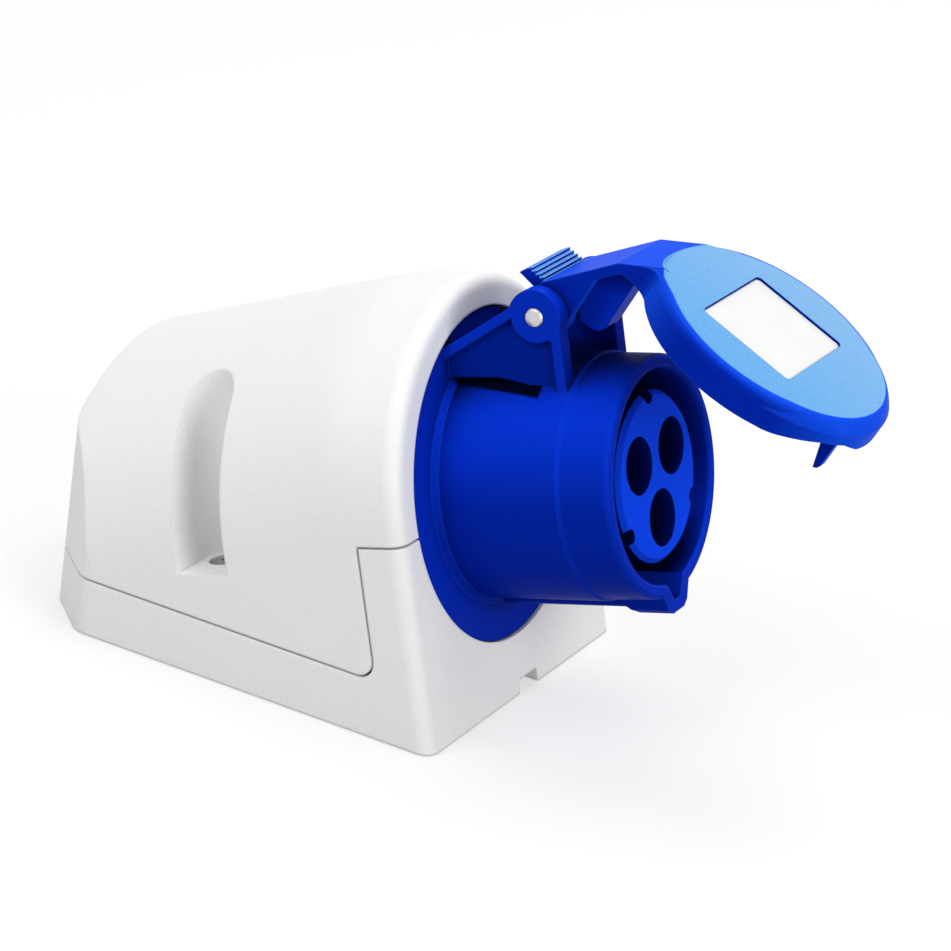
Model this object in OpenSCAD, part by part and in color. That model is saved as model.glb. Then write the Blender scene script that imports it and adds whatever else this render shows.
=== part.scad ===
// Surface-mounted outdoor power socket, lying on its wall face, with its lid part open.
// Frame: origin at the centre of the wall face, +Z away from the wall, +X the way the socket faces.
// The socket leans up by front_tilt, so most of the blue pieces are drawn in the socket's own frame:
// x across, y up the front face from the socket's axis, z out along the axis from the front face.

/* [Housing] */
// Length of the wall face, rear to front edge
base_length = 98; // [90:1:110]
// Width of the housing
base_width = 84.6; // [82:0.2:90]
// Wall thickness of the housing
wall = 2.6; // [2:0.1:3]
// Lean of the front face back from upright, in degrees
front_tilt = 16.6; // [12:0.2:20]
// Height of the socket's axis, measured up the front face
axis_height = 47.8; // [46:0.2:52]
// Length of hood behind the front face that runs along the socket's axis
hood_run = 14.5; // [12:0.5:20]
// Extra fall of the hood's crown to the rear, in degrees
hood_fall = 9; // [6:0.5:12]
// Leg of the chamfer on each rear corner, in plan
rear_chamfer = 12.3; // [8:0.1:14]
// Rounding of the upright edges at the rear
rear_round = 5; // [4:0.2:6]
// Rounding of the front edges
front_round = 3.2; // [3:0.2:5.5]
// Thickness of the floor against the wall
floor_t = 3; // [2.4:0.2:4]
// Thickness of the front wall behind the flange gasket
front_wall = 3.3; // [2.6:0.1:4]
// Height of the drain notch in the front edge
notch_height = 2.8; // [2:0.1:4]
// Width of the drain notch
notch_width = 8.2; // [6:0.2:12]
// Offset of the drain notch from the middle
notch_offset = 2.2; // [0:0.1:5]
// Depth of the drain notch
notch_depth = 6; // [4:0.5:8]

/* [Seam] */
// Height of the seam between base and cover
seam_height = 12.1; // [11:0.1:14]
// Depth of the base's front block behind the front face
block_depth = 10.2; // [9.6:0.1:12]
// Drop of the front seam below the socket's axis
seam_drop = 3.6; // [2:0.1:6]
// Rounding of the cover's lower front corner
seam_round = 3; // [2:0.2:4]
// Open line of the seam
seam_gap = 0.5; // [0.3:0.05:0.6]
// Height of the seal strip in the seam
seal_height = 1; // [0.8:0.1:1.4]

/* [Cover screws] */
// Distance of the screws behind the front face
screw_back = 48.4; // [46:0.2:50]
// Distance of each screw inside the housing's side
screw_inset = 11.1; // [10.5:0.1:11.9]
// Radius of the screwdriver channel
channel_r = 6.1; // [5.4:0.1:6.4]
// Height of the channel's floor, up the front face's direction
channel_floor = 37.8; // [36:0.2:40]
// Thickness of the channel's wall and floor
channel_wall = 2.2; // [1.8:0.1:2.6]
// Depth of the sunk hole for the screw's head, below the channel's floor
head_sink = 3.6; // [3:0.1:4]
// Radius of the sunk hole
sink_r = 4.3; // [4:0.1:4.6]
// Radius of the screw's shank
screw_r = 2; // [1.8:0.1:2.2]
// Radius of the screw's head
screw_head_r = 3.7; // [3.2:0.1:4]
// Height of the screw's head
screw_head_h = 2.6; // [2:0.1:3]
// Length of the screw under its head
screw_length = 12; // [10:0.5:14]
// Thickness of the washer under the head
washer_t = 0.8; // [0.6:0.1:1.2]
// Radius of the screw boss in the base
boss_r = 5; // [4.6:0.1:5.4]
// Radius of the threaded insert in the boss
insert_r = 3; // [2.8:0.1:3.4]
// Length of the threaded insert
insert_length = 8; // [6:0.5:10]

/* [Wall fixing] */
// Spacing of the wall screw holes along the length
fix_x = 62; // [50:1:64]
// Spacing of the wall screw holes across the width
fix_y = 44; // [40:1:46]
// Radius of a wall screw hole
fix_r = 2.3; // [2:0.1:2.6]
// Radius of the raised pad round a wall screw hole
pad_r = 5.5; // [4.5:0.1:6]
// Height of the raised pad
pad_h = 1.6; // [1:0.1:2]

/* [Cable entry] */
// Radius of the hole for the grommet
entry_r = 10; // [8:0.2:11]
// Drop of the hole below the top of the tongue
entry_drop = 14; // [12:0.5:15]
// Width of the base's rear tongue that holds the grommet
tongue_width = 30; // [28:0.5:34]
// Height of the tongue
tongue_height = 41; // [40:0.5:43]
// Overlap of the grommet's lips on the wall
lip = 2.2; // [1.6:0.1:2.4]
// Thickness of each lip
lip_t = 1.8; // [1.4:0.1:2.4]
// Length of the grommet's nose
nose_length = 7; // [5:0.5:8]
// Thickness of the grommet's skin
skin_t = 1.2; // [1:0.1:1.6]

/* [Socket body] */
// Radius of the flange
flange_r = 34.9; // [34:0.1:35.4]
// Thickness of the flange
flange_t = 2.4; // [2:0.1:3]
// Depth of the flange's face below the front face
flange_sink = 0.7; // [0.4:0.1:1]
// Thickness of the gasket behind the flange
gasket_t = 1; // [0.8:0.1:1.4]
// Radius of the neck that passes through the front wall
neck_r = 29.2; // [28.6:0.1:29.6]
// Radius of the collar behind the front wall
back_r = 32.4; // [31.6:0.1:32.8]
// Thickness of the collar behind the front wall
back_t = 2.3; // [2:0.1:3]
// Distance of the mouth's rim in front of the front face
mouth = 38.6; // [37:0.2:40]
// Radius of the mouth's bore
bore_r = 22.2; // [21.8:0.1:22.6]
// Outer radius of the tube behind its step
tube_r = 25.8; // [25.4:0.1:26]
// Outer radius of the tube at the mouth
collar_r = 25.2; // [24.8:0.1:25.4]
// Distance of the tube's step in front of the front face
step_out = 27.6; // [26:0.2:29]
// Flare at the root of the tube
root_flare = 1.2; // [0.6:0.1:1.8]
// Taper of the collar between its step and the mouth
collar_taper = 0.2; // [0.1:0.05:0.4]
// Chamfer of the rim
rim_chamfer = 1; // [0.4:0.1:1.2]
// Chamfer of the tube's step
step_chamfer = 0.6; // [0.3:0.1:0.8]
// Thickness of the shelf inside the tube that carries the insert
shelf_t = 3.5; // [3:0.1:4.5]
// Distance of the shelf's rear face behind the front face
shelf_back = 2; // [1.5:0.1:2.5]

/* [Keyway] */
// Width of the keyway at the bore
key_wide = 8.4; // [7:0.2:9]
// Width of the keyway at its floor
key_narrow = 3; // [2.8:0.1:4]
// Radius of the keyway's floor
key_r = 26; // [25.8:0.1:26.4]
// Radius of the outside of the keyway's rib
rib_r = 27.4; // [26.9:0.1:27.8]
// Width of the keyway's rib
rib_width = 8.6; // [7.5:0.1:9.5]
// Radius of the outside of the heavier rib at the mouth
boss_key_r = 28.6; // [28.2:0.1:29]
// Width of the heavier rib at the tube
boss_key_width = 12; // [11:0.2:12.4]
// Width of both ribs at their outside
rib_tip = 5.2; // [4:0.2:6]
// Length of the heavier rib
boss_key_length = 10.5; // [9:0.5:11]

/* [Insert and contacts] */
// Radius of the contact insert
insert_face_r = 17.75; // [17.3:0.05:18]
// Depth of the insert's face inside the mouth
insert_sink = 1.3; // [1:0.1:2]
// Radius of the insert's rear disc
insert_disc_r = 22.2; // [21.8:0.1:22.4]
// Thickness of the insert's rear disc
insert_disc_t = 4; // [3.5:0.1:4.5]
// Radius of the contact circle
pitch_r = 8.77; // [8.6:0.01:8.9]
// Radius of the entry holes
entry_hole_r = 6; // [5.8:0.1:6.2]
// Depth of the entry holes
entry_depth = 6; // [5:0.5:8]
// Radius of the rim notches
rim_notch_r = 1.9; // [1.5:0.1:2.2]
// Length of the rim notches
rim_notch_length = 12; // [8:1:20]
// Bore radius of the line and neutral sleeves
pin_bore_r = 2.55; // [2.5:0.01:2.6]
// Bore radius of the earth sleeve
earth_bore_r = 3.55; // [3.5:0.01:3.6]
// Wall of the sleeves
sleeve_wall = 1.3; // [1.1:0.1:1.4]
// Depth of the sleeves' bores
sleeve_depth = 34; // [32:0.5:35]
// Width of the slits in the sleeves
slit = 0.8; // [0.6:0.1:1]
// Length of the slits
slit_length = 16; // [12:1:18]
// Height of the shoulder on each contact
shoulder = 1; // [0.8:0.1:1.1]
// Thickness of the shoulder
shoulder_t = 2; // [1.6:0.1:2.4]
// Thickness of the retainer plate
retainer_t = 2.4; // [2:0.1:3]
// Length of the terminal ends behind the retainer
terminal_length = 11; // [10:0.5:12]
// Radius of the wire hole in a terminal
wire_r = 1.7; // [1.5:0.1:1.9]
// Depth of the wire hole
wire_depth = 9; // [8:0.5:9.5]
// Radius of a terminal screw
terminal_screw_r = 1.5; // [1.3:0.1:1.6]
// Length of a terminal screw
terminal_screw_length = 5; // [4.5:0.1:5.5]
// Depth of the slot in a terminal screw
terminal_slot = 1; // [0.8:0.1:1.4]
// Thickness of the spring rings round the sleeves
ring_t = 0.5; // [0.4:0.05:0.6]
// Width of the spring rings
ring_w = 3; // [2:0.2:4]
// Circle of the insert's fixing screws
fix_circle = 20; // [19.9:0.05:20.1]
// Radius of the fixing screws
fix_screw_r = 1.2; // [1:0.05:1.3]
// Radius of the fixing screws' heads
fix_head_r = 2; // [1.8:0.1:2.1]
// Height of the fixing screws' heads
fix_head_h = 1.5; // [1.2:0.1:1.8]

/* [Hinge] */
// Distance of the hinge pin in front of the front face
pin_out = 21; // [20.5:0.1:21.5]
// Height of the hinge pin above the tube
pin_rise = 11.3; // [11:0.1:11.8]
// Radius of the hinge pin
pin_r = 2; // [1.8:0.05:2.2]
// Length that the pin stands out of each ear
pin_proud = 0.7; // [0.4:0.1:1]
// Height of the pin's domed ends
pin_dome = 0.6; // [0.4:0.1:0.7]
// Radius of the ears round the pin
ear_r = 5.8; // [5.4:0.1:6]
// Half distance between the ears' inner faces
ear_inner = 10.4; // [10.2:0.1:11]
// Thickness of the ears
ear_t = 3.8; // [3.4:0.1:4.2]
// Depth of the panel sunk in each ear's outer face
ear_panel = 1.2; // [0.8:0.1:1.4]
// Width of the raised edge round that panel
ear_edge = 2; // [1.6:0.1:2.4]
// Radius of the raised ring round the pin
ear_ring = 5.3; // [5:0.1:5.5]
// Drop of the ears' lower edge below the tube's top
foot_drop = 1.4; // [0.8:0.1:1.8]
// Height of the ears' upper edge above the tube's top, at the flange
heel_rise = 4.3; // [3.2:0.1:5.2]
// Height of the ears' upper edge above the pin
ear_rise = 3.9; // [3.4:0.1:4.4]
// Distance that the ears' posts reach behind the pin
post_back = 2; // [1.5:0.1:3]
// Distance that the ears' posts reach in front of the pin
post_front = 5.2; // [4.8:0.1:5.6]
// Distance from the pin back to where the ears' lower edge turns down
ear_fold = 10.4; // [9:0.2:12]
// Wire radius of the hinge spring
wire = 0.45; // [0.35:0.05:0.5]
// Radius of the spring's coil, to the middle of the wire
coil_r = 2.95; // [2.85:0.05:3]
// Full turns of the spring
coil_turns = 6; // [5:1:6]
// Length of the spring's coil
coil_length = 9.2; // [8.6:0.1:9.4]
// Length of the spring's leg under the lid's arm
leg_length = 4.5; // [3:0.1:4.6]

/* [Lid] */
// How far the lid stands open, in degrees
lid_open = 49.5; // [0:0.5:110]
// Distance of the lid's outer face in front of the front face, when shut
lid_face = 46.3; // [46:0.1:47.5]
// Outer radius of the lid's skirt
lid_r = 26.3; // [26:0.1:26.8]
// Radius of the lid's flat outer face
lid_flat_r = 24.2; // [23.6:0.1:24.8]
// Drop of the lid's middle below the socket's axis
lid_shift = 2.2; // [2:0.1:2.4]
// Draft of the skirt, from its open edge to the rounded edge
lid_draft = 0.2; // [0.1:0.05:0.4]
// Height of the rounded edge round the flat face
lid_round = 2.2; // [1.6:0.1:2.6]
// Thickness of the skirt
skirt_t = 1.5; // [1.3:0.1:1.7]
// Chamfer of the skirt's open edge
skirt_chamfer = 0.5; // [0.3:0.1:0.7]
// Thickness of the lid's face
lid_t = 2.3; // [2:0.1:2.6]
// Height of the seal's seat above the mouth's rim, when shut
seal_seat = 2.4; // [2:0.1:2.8]
// Overlap of the seal on the mouth's rim
seal_lap = 1; // [0.8:0.1:1.1]
// Radial width of the seal
seal_width = 3.2; // [2.8:0.1:3.6]
// Thickness of the ring that holds the seal
seal_ring = 1.2; // [1:0.1:1.6]
// Half width of the lid's arm
arm_half = 10.1; // [9.8:0.05:10.1]
// Distance of the arm's root in front of the pin
root_out = 5; // [4.6:0.1:5.2]
// Height of the arm's root above the pin
root_up = 3.8; // [3.6:0.1:4.2]
// Distance of the arm's bend in front of the mouth's rim
bend_out = 1.8; // [1.2:0.1:2.4]
// Height of the arm's bend above the tube
bend_up = 4.1; // [3.8:0.1:4.6]
// Distance of the arm's foot inside the edge of the flat face
foot_in = 0.8; // [0.4:0.1:1.2]
// Radius of the flares between the arm's sides and the cap
flare_r = 7; // [5:0.5:8]
// Fall of the flares' upper faces to the side, in degrees
flare_fall = 28; // [20:1:34]
// Thickness of the arm's skin
arm_t = 2.2; // [1.8:0.1:2.3]
// Thickness of the arm's side webs
web_t = 2.5; // [2:0.1:3]
// Distance behind the mouth's rim where the webs' lower edge turns up to the bend
web_back = 4.1; // [3.4:0.1:5]
// Radius of the lid's knuckles
knuckle_r = 5.2; // [4.8:0.1:5.4]
// Length of each knuckle
knuckle_length = 4.8; // [4:0.1:5]
// Height of the thumb tab's front
tab_height = 4.2; // [3.6:0.1:5]
// Rise of the thumb tab's top to its rear edge
tab_rise = 1.1; // [0.6:0.1:1.6]
// Thickness of the thumb tab
tab_t = 2; // [1.6:0.1:2.4]
// Half width of the thumb tab
tab_half = 8.8; // [8:0.1:9.6]
// Number of grip ridges on the thumb tab
tab_ridges = 4; // [3:1:5]
// Depth of the grip ridges
ridge = 0.5; // [0.3:0.05:0.7]
// Gap between the plug lug and the tube, when shut
lug_gap = 0.4; // [0.3:0.1:0.8]
// Length of the plug lug along the tube
lug_length = 14.8; // [13:0.2:15]
// Distance of the plug lug's rear face in front of the pin
lug_back = 0.4; // [0.2:0.1:1]
// Height of the plug lug's rear face
lug_height = 5.6; // [5:0.1:5.8]
// Rounding of the plug lug's corner
lug_round = 2.8; // [1.6:0.2:3]
// Half width of the plug lug
lug_half = 3.2; // [2.4:0.1:3.4]
// Radius of the lip that covers the keyway
lip_r = 25; // [24.8:0.1:25.2]
// Drop of the lip's middle below the socket's axis
lip_shift = 5.4; // [5:0.1:5.8]
// Width of the lip's rounded edge
lip_edge = 2.5; // [2:0.1:2.8]
// Height of the lip's rounded edge
lip_round = 2.7; // [2.4:0.1:3]
// Distance inside the bore where the skirt's edge starts to rise to the lip
lip_rise = 7.2; // [6:0.2:8]
// Depth of the lip's front wall under its underside
lip_drop = 1.6; // [1.4:0.1:1.9]
// Half width of the front wall at its foot
lip_half = 5; // [4:0.5:6]
// Width of the slant at each end of the front wall
lip_ramp = 5; // [4:0.5:6]
// Distance of the lip's underside in front of the mouth's rim, when shut
lip_clear = 2.6; // [2.5:0.05:2.8]
// Thickness of the nose that enters the keyway
nose_t = 2.4; // [1.8:0.1:2.4]
// Reach of the nose behind the mouth's rim
nose_reach = 10.2; // [8:0.2:10.4]
// Width of the nose at its tip
nose_tip = 1.2; // [0.8:0.1:1.6]
// Width of the nose where it passes the mouth's rim
nose_root = 3.2; // [2.6:0.1:3.4]

/* [Label plate] */
// Width of the label plate
label_w = 26.6; // [24:0.2:28]
// Height of the label plate
label_h = 21.8; // [20:0.2:23]
// Drop of the plate's middle below the socket's axis
label_drop = 1.4; // [1:0.1:2.4]
// Rounding of the plate's corners
label_round = 1; // [0.6:0.1:1.6]
// Thickness of the label plate
label_t = 0.4; // [0.3:0.05:0.5]
// Depth of its recess
label_sink = 0.9; // [0.7:0.05:1.1]

/* [Clearances] */
// Gap round fitted pieces
fit = 0.3; // [0.2:0.05:0.4]
// Running clearance of the hinge pin
run_fit = 0.05; // [0.02:0.01:0.1]
// Gap between the shut lid's seal and the rim
shut_gap = 0.3; // [0.2:0.05:0.5]
// Room between the lid's nose and the keyway's floor
nose_gap = 0.5; // [0.4:0.05:0.7]

/* [Hidden] */
$fn = 96;
eps = 0.01;
half_l = base_length / 2;
half_w = base_width / 2;
tall = 2 * (axis_height + half_w);
seat_depth = flange_sink + flange_t + gasket_t;
front_t = seat_depth + front_wall;
step_height = axis_height - seam_drop;
pin_up = tube_r + pin_rise;
ear_foot = tube_r - foot_drop;
ear_heel = tube_r + heel_rise;
ear_outer = ear_inner + ear_t;
screw_side = half_w - screw_inset;
screw_seat = channel_floor - head_sink;
boss_top = screw_seat - channel_wall;
channel_base = channel_floor - channel_wall;
entry_height = tongue_height - entry_drop;
line_turn = 150;
neutral_turn = 30;
earth_turn = 270;
back_front = -front_t - 2 * run_fit;
back_end = back_front - back_t;
shelf_front = shelf_t - shelf_back;
insert_face = mouth - insert_sink;
insert_back = -shelf_back - insert_disc_t;
retainer_back = insert_back - retainer_t;
pin_sleeve_r = pin_bore_r + sleeve_wall;
earth_sleeve_r = earth_bore_r + sleeve_wall;
sleeve_front = insert_face - entry_depth;
skirt_end = mouth + shut_gap;
seat_face = mouth + seal_seat;
seal_r = bore_r + seal_lap;
lid_inner = lid_face - lid_t;
arm_root = [pin_out + root_out, pin_up + root_up];
arm_bend = [mouth + bend_out, tube_r + bend_up];
arm_foot = [lid_face, lid_flat_r - lid_shift - foot_in];
pale = "#e9e9ea";
blue = "#1237c9";
brass = "#c9a24a";
steel = "#c8ccd0";
rubber = "#3a3c40";

// Frames

module socket_frame() {
    translate([half_l - axis_height * sin(front_tilt), 0, axis_height * cos(front_tilt)])
        rotate([0, -front_tilt, 0])
            rotate([90, 0, 90])
                children();
}

// The lid is drawn shut, and this swings it open about the hinge pin.
module opened() {
    socket_frame()
        translate([0, pin_up, pin_out])
            rotate([-lid_open, 0, 0])
                translate([0, -pin_up, -pin_out])
                    children();
}

// A profile given as [distance out, height] in the socket's frame, drawn across the width from x0 to x1.
module across(x0, x1) {
    translate([x0, 0, 0])
        rotate([90, 0, 90])
            linear_extrude(x1 - x0)
                mirror([1, -1, 0])
                    children();
}

// Housing form

function round_corner(r, z, rd, steps = 6) = rd == 0 ? [[r, z]] : [
    for (i = [0 : steps]) [r - rd + rd * cos(90 * i / steps), z - rd + rd * sin(90 * i / steps)]
];
function flipped(points) = [for (i = [len(points) - 1 : -1 : 0]) [-points[i][0], points[i][1]]];

// Half section of the hood's front end: radius against distance along the axis.
function front_profile(r, z, rd) = concat([[0, -hood_run], [r, -hood_run]], round_corner(r, z, rd), [[0, z]]);

// Section of the front end below the axis: width against distance along the axis.
function front_section(r, z, rd) = concat(
    [[-r, -hood_run], [r, -hood_run]], round_corner(r, z, rd), flipped(round_corner(r, z, rd))
);

// Plan outline that cuts the rear and its chamfered corners, set in by d, with both corners rounded.
// The last side of the rounding crosses the housing's side and runs on outside it.
function arc_point(centre, r, turn) = centre + r * [-sin(turn), cos(turn)];
function rear_half(d) = let (
    r = rear_round - d,
    run = rear_chamfer + rear_round * (sqrt(2) - 1),
    inner = [-half_l + rear_round, half_w - run],
    outer = [-half_l + run, half_w - rear_round],
    last = arc_point(outer, r, 15)
) concat(
    [for (turn = [90, 75, 60, 45]) arc_point(inner, r, turn)],
    [for (turn = [45, 30]) arc_point(outer, r, turn)],
    [last, last + (arc_point(outer, r, 0) - last) / norm(arc_point(outer, r, 0) - last) * 2 * base_length]
);
function below(points) = [for (i = [len(points) - 1 : -1 : 0]) [points[i][0], -points[i][1]]];
function rear_plan(d) = concat(rear_half(d), below(rear_half(d)));

// A point of the side view, from distance out of the front face and height up it.
function side_point(a, h) = [
    half_l + a * cos(front_tilt) - h * sin(front_tilt),
    a * sin(front_tilt) + h * cos(front_tilt)
];

// The housing's form, set in by d at its sides, crown and rear, ending at z along the socket's axis,
// with its front edges rounded by rd. The hood runs along the axis, bends, then falls to the rear.
module hood_form(d, z, rd) {
    r = half_w - d;
    intersection() {
        socket_frame() {
            rotate_extrude(angle = 180)
                polygon(front_profile(r, z, rd));
            rotate([90, 0, 0])
                linear_extrude(tall)
                    polygon(front_section(r, z, rd));
            translate([0, 0, -hood_run]) {
                rotate([90, 0, 90])
                    rotate([0, 0, -hood_fall])
                        rotate_extrude(angle = hood_fall)
                            intersection() {
                                circle(r);
                                translate([0, -r]) square([r, 2 * r]);
                            }
                rotate([-hood_fall, 0, 0])
                    translate([0, 0, -base_length])
                        linear_extrude(base_length) {
                            circle(r);
                            translate([-r, -tall]) square([2 * r, tall]);
                        }
            }
        }
        linear_extrude(tall) polygon(rear_plan(d));
    }
}

// The hollow inside: floor_t above the wall face, front_t behind the front face.
module cavity() {
    intersection() {
        hood_form(wall, -front_t, 0);
        translate([-base_length, -base_width, floor_t]) cube([2 * base_length, 2 * base_width, tall]);
    }
}

// A side view drawn across the whole width.
module side_slab() {
    rotate([90, 0, 0])
        linear_extrude(2 * base_width, center = true)
            children();
}

// The seam's corner, where it turns up behind the front block; g shifts the seam towards the cover.
function seam_corner(g) = side_point(
    -block_depth - g,
    (seam_height + g + (block_depth + g) * sin(front_tilt)) / cos(front_tilt)
);
function seam_arc(g, rd, steps = 5) = let (
    k = seam_corner(g),
    c = [k[0] - rd / tan(45 - front_tilt / 2), k[1] + rd]
) [
    for (i = [0 : steps])
        let (turn = (90 + front_tilt) * i / steps - 90)
        c + rd * [cos(turn), sin(turn)]
];
seam_start = seam_arc(0, seam_round + seam_gap)[0][0];

module base_side() {
    polygon(concat(
        [[-base_length, -wall], [-base_length, seam_height]],
        seam_arc(0, seam_round + seam_gap),
        [
            side_point(-block_depth, step_height),
            side_point(block_depth, step_height),
            side_point(block_depth, -block_depth)
        ]
    ));
}

module cover_side() {
    polygon(concat(
        [[-base_length, seam_height + seam_gap]],
        seam_arc(seam_gap, seam_round),
        [
            side_point(-block_depth - seam_gap, step_height + seam_gap),
            side_point(block_depth, step_height + seam_gap),
            side_point(block_depth, tall),
            [-base_length, tall]
        ]
    ));
}

// The rear tongue of the base, which carries the cable entry; g widens it for the cover's cut-out.
module tongue(g) {
    w = tongue_width / 2 + g;
    h = tongue_height + g;
    corner = tongue_width / 4;
    side = [[w, 0], [w, h - corner], [w - corner, h]];
    translate([-half_l - wall, 0, 0])
        rotate([90, 0, 90])
            linear_extrude(2 * wall + g)
                polygon(concat(side, flipped(side)));
}

// The seat that the base and the cover share round the socket: flange recess and hole for the neck.
module socket_seat() {
    socket_frame() {
        translate([0, 0, -seat_depth]) cylinder(h = tall, r = flange_r + fit);
        translate([0, 0, -front_t - wall]) cylinder(h = front_t + wall, r = neck_r + fit);
    }
}

// Plan of a screw channel: half round inside, open to the housing's side.
module channel(r, from, to, side) {
    translate([0, 0, from]) {
        linear_extrude(to - from)
            intersection() {
                circle(r);
                translate([side > 0 ? -r : 0, -r]) square([r, 2 * r]);
            }
        translate([side > 0 ? 0 : -half_w, -r, 0]) cube([half_w, 2 * r, to - from]);
    }
}

module screw_place(side) {
    socket_frame()
        translate([side * screw_side, -axis_height, -screw_back])
            rotate([-90, 0, 0])
                children();
}

module at_screws() {
    for (side = [-1, 1]) screw_place(side) children();
}

// Housing pieces

module wall_base() {
    color(pale)
        difference() {
            union() {
                intersection() {
                    difference() {
                        hood_form(0, 0, front_round);
                        cavity();
                    }
                    union() {
                        side_slab() base_side();
                        tongue(0);
                    }
                }
                intersection() {
                    at_screws() cylinder(h = boss_top, r = boss_r);
                    translate([-half_l, -half_w, floor_t / 2]) cube([base_length, base_width, tall]);
                }
                for (x = [-1, 1], y = [-1, 1])
                    translate([x * fix_x / 2, y * fix_y / 2, floor_t / 2])
                        cylinder(h = floor_t / 2 + pad_h, r = pad_r);
            }
            socket_seat();
            at_screws()
                translate([0, 0, boss_top - insert_length]) cylinder(h = insert_length + eps, r = insert_r);
            at_screws()
                translate([0, 0, screw_seat + washer_t - screw_length - fit])
                    cylinder(h = screw_length, r = screw_r + fit);
            for (x = [-1, 1], y = [-1, 1])
                translate([x * fix_x / 2, y * fix_y / 2, -eps])
                    cylinder(h = floor_t + pad_h + 2 * eps, r = fix_r);
            translate([-half_l - wall, 0, entry_height])
                rotate([0, 90, 0])
                    cylinder(h = 3 * wall, r = entry_r);
            translate([half_l - notch_depth, notch_offset - notch_width / 2, -eps])
                cube([2 * notch_depth, notch_width, notch_height + eps]);
        }
}

module housing_cover() {
    color(pale)
        difference() {
            intersection() {
                union() {
                    difference() {
                        hood_form(0, 0, front_round);
                        cavity();
                    }
                    intersection() {
                        hood_form(wall / 2, -front_t, 0);
                        union() {
                            for (side = [-1, 1])
                                screw_place(side)
                                    channel(channel_r + channel_wall, channel_base, tall, side);
                            at_screws()
                                translate([0, 0, boss_top])
                                    cylinder(h = head_sink + channel_wall / 2, r = sink_r + channel_wall);
                        }
                    }
                }
                side_slab() cover_side();
            }
            socket_seat();
            tongue(seam_gap);
            for (side = [-1, 1]) screw_place(side) channel(channel_r, channel_floor, 2 * tall, side);
            at_screws() {
                cylinder(h = channel_floor + eps, r = screw_r + fit);
                translate([0, 0, screw_seat]) cylinder(h = head_sink + eps, r = sink_r);
            }
            intersection() {
                hood_form(wall / 2, -front_t, 0);
                translate([-base_length, -base_width, 0])
                    cube([base_length + seam_start, 2 * base_width, seam_height + seal_height]);
            }
        }
}

module housing_seal() {
    color(rubber)
        difference() {
            intersection() {
                hood_form(wall / 2 + fit / 2, -front_t, 0);
                translate([-base_length, -base_width, seam_height])
                    cube([base_length + seam_start - fit, 2 * base_width, seal_height]);
            }
            hood_form(wall, -front_t, 0);
            tongue(seam_gap);
        }
}

module cover_screws() {
    color(steel)
        at_screws()
            translate([0, 0, screw_seat + washer_t])
                difference() {
                    union() {
                        cylinder(h = screw_head_h, r = screw_head_r);
                        translate([0, 0, -screw_length]) cylinder(h = screw_length + eps, r = screw_r);
                    }
                    for (turn = [0, 90])
                        rotate([0, 0, turn])
                            translate([-screw_r, -screw_r / 4, screw_head_h / 2])
                                cube([2 * screw_r, screw_r / 2, screw_head_h]);
                }
}

module screw_seals() {
    color(rubber)
        at_screws()
            translate([0, 0, screw_seat])
                difference() {
                    cylinder(h = washer_t, r = screw_head_r + fit);
                    translate([0, 0, -eps]) cylinder(h = washer_t + 2 * eps, r = screw_r + run_fit);
                }
}

module boss_inserts() {
    color(brass)
        at_screws()
            translate([0, 0, boss_top - insert_length])
                difference() {
                    cylinder(h = insert_length, r = insert_r);
                    translate([0, 0, -eps]) cylinder(h = insert_length + 2 * eps, r = screw_r + run_fit);
                }
}

module entry_grommet() {
    r = entry_r - run_fit;
    big = entry_r + lip;
    neck = entry_r - lip;
    tip = neck - lip;
    color(rubber)
        translate([-half_l, 0, entry_height])
            rotate([0, -90, 0])
                rotate_extrude()
                    polygon([
                        [0, lip_t + nose_length], [tip, lip_t + nose_length],
                        [neck, lip_t], [big, lip_t], [big, 0],
                        [r, 0], [r, -wall],
                        [big, -wall], [big, -wall - lip_t], [neck - skin_t, -wall - lip_t],
                        [neck - skin_t, lip_t - skin_t], [tip - skin_t, lip_t + nose_length - skin_t],
                        [0, lip_t + nose_length - skin_t]
                    ]);
}

// Socket pieces

// The ear's outline, as distance out against height above the axis.
module ear_side() {
    root = -flange_sink - flange_t / 2;
    foot = bore_r - post_back;
    polygon([
        [root, ear_foot], [pin_out - ear_fold, ear_foot], [pin_out - post_back, ear_foot - post_back],
        [pin_out - post_back, foot], [pin_out + post_front, foot], [pin_out + post_front, pin_up],
        [pin_out, pin_up], [pin_out - post_back, pin_up + ear_rise], [root, ear_heel]
    ]);
}

// The sunk panel of the ear's outer face, between its raised edges and the ring round the pin.
module ear_panel_side() {
    root = -flange_sink - flange_t / 2;
    slope = (pin_up + ear_rise - ear_heel) / (pin_out - post_back - root);
    drop = ear_edge * sqrt(1 + slope * slope);
    front = pin_out + post_front - ear_edge;
    back = root - flange_t;
    difference() {
        polygon([
            [back, 0], [front, 0], [front, pin_up - ear_ring], [pin_out, pin_up],
            [pin_out - post_back, pin_up + ear_rise - drop], [back, ear_heel + slope * (back - root) - drop]
        ]);
        translate([pin_out, pin_up]) circle(ear_ring);
    }
}

module ears() {
    for (flip = [0, 1])
        mirror([flip, 0, 0])
            difference() {
                union() {
                    across(ear_inner, ear_outer) ear_side();
                    translate([ear_inner, pin_up, pin_out])
                        rotate([0, 90, 0])
                            cylinder(h = ear_t, r = ear_r);
                }
                across(ear_outer - ear_panel, ear_outer + wall) ear_panel_side();
            }
}

// A bar under the tube, w wide at the tube and rib_tip wide at its outer radius r.
module key_rib(w, r, from, to) {
    inner = (bore_r + collar_r) / 2;
    side = [[w / 2, -inner], [(w + rib_tip) / 4, -r + (w - rib_tip) / 6], [rib_tip / 2, -r]];
    translate([0, 0, from])
        linear_extrude(to - from)
            polygon(concat(side, flipped(side)));
}

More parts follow.
